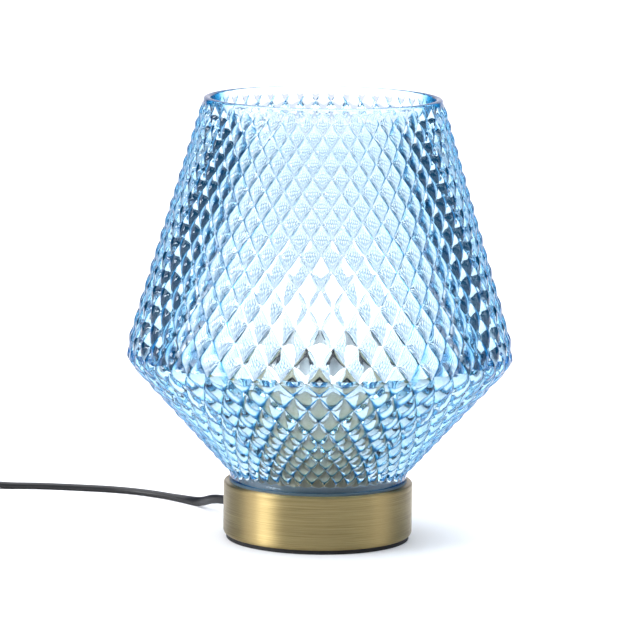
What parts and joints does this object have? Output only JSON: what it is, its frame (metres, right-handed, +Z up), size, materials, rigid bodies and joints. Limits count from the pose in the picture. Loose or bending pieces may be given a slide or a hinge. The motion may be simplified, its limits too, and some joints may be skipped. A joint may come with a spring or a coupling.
{
  "type": "glass table lamp",
  "caption": "Table lamp with a flared, open-topped blue glass shade pressed with diamonds, on a low brushed brass cylinder, with a round opal bulb and a flat black switched cord.",
  "frame": {"origin": "centre of the bottom face of the foot pad, on the lamp's axis", "axes": "+Z up along the lamp's axis, -Y towards the front, +X to the right; the cord leaves at the rear left"},
  "size_m": [0.4007, 0.2355, 0.23],
  "materials": {
    "glass_blue": "pressed diamond pattern, clear, gloss",
    "brass_antique": "brushed antique brass plate, lacquered",
    "brass_bright": "plain drawn brass",
    "nickel": "nickel plated",
    "steel_zinc": "zinc plated",
    "cast_iron": "rough cast",
    "rubber_black": "matt",
    "silicone_clear": "translucent",
    "plastic_black": "fine moulded",
    "plastic_black_gloss": "polished",
    "plastic_white": "satin moulded",
    "opal": "opal diffuser",
    "ceramic": "glazed steatite",
    "board_green": "circuit board",
    "aluminium": "plain",
    "cord_black": "smooth sheath",
    "wire_brown": "insulated core",
    "wire_blue": "insulated core"
  },
  "bodies": {
    "root": {"foot_pad": "rubber_black", "base_bottom_plate": "steel_zinc", "bottom_plate_screws": "steel_zinc", "ballast_weight": "cast_iron", "base_housing": "brass_antique", "shade_seat_ring": "silicone_clear", "threaded_nipple": "steel_zinc", "nipple_nut": "steel_zinc", "lock_washer": "steel_zinc", "holder_cup": "brass_antique", "lampholder_cap": "plastic_black", "lampholder_body": "plastic_black", "lampholder_core": "ceramic", "screw_shell": "brass_bright", "centre_contact": "brass_bright", "side_contact": "brass_bright", "terminal_blocks": "brass_bright", "terminal_screws": "steel_zinc", "cord_bush": "rubber_black", "cord_inner": "cord_black", "cord_grip_base": "plastic_white", "cord_grip_bridge": "plastic_white", "cord_grip_screws": "steel_zinc", "wire_live": "wire_brown", "wire_neutral": "wire_blue", "cord_lead": "cord_black", "cord_loop": "cord_black", "cord_coil": "cord_black", "cord_tail": "cord_black", "switch_lower_shell": "plastic_black", "switch_upper_shell": "plastic_black", "switch_contacts": "brass_bright", "switch_screws": "steel_zinc", "plug_body": "plastic_black", "plug_pins": "nickel", "plug_pin_sleeves": "plastic_black", "plug_relief": "rubber_black"},
    "shade": {"shade": "glass_blue"},
    "bulb_lift": {"bulb_contact": "steel_zinc"},
    "bulb": {"bulb_insulator": "plastic_black_gloss", "bulb_cap": "nickel", "bulb_collar": "plastic_white", "bulb_globe": "opal", "bulb_led_board": "aluminium", "bulb_driver": "board_green"},
    "rocker": {"switch_rocker": "plastic_black_gloss"}
  },
  "joints": [
    {"name": "shade_lift", "type": "slide", "parent": "root", "child": "shade", "axis": [0, 0, 1], "range_m": [0, 0.13]},
    {"name": "bulb_rise", "type": "slide", "parent": "root", "child": "bulb_lift", "axis": [0, 0, 1], "range_m": [0, 0.0146]},
    {"name": "bulb_turn", "type": "hinge", "parent": "bulb_lift", "child": "bulb", "pos_m": [0, 0, 0.06], "axis": [0, 0, 1], "range_deg": [0, 1440]},
    {"name": "switch_rock", "type": "hinge", "parent": "root", "child": "rocker", "pos_m": [-0.231, 0.122, 0.008], "axis": [0, 1, 0], "range_deg": [0, 20]}
  ],
  "couplings": [
    {"joint": "bulb_rise", "follows": "bulb_turn", "m_per_rad": 0.00057756}
  ]
}
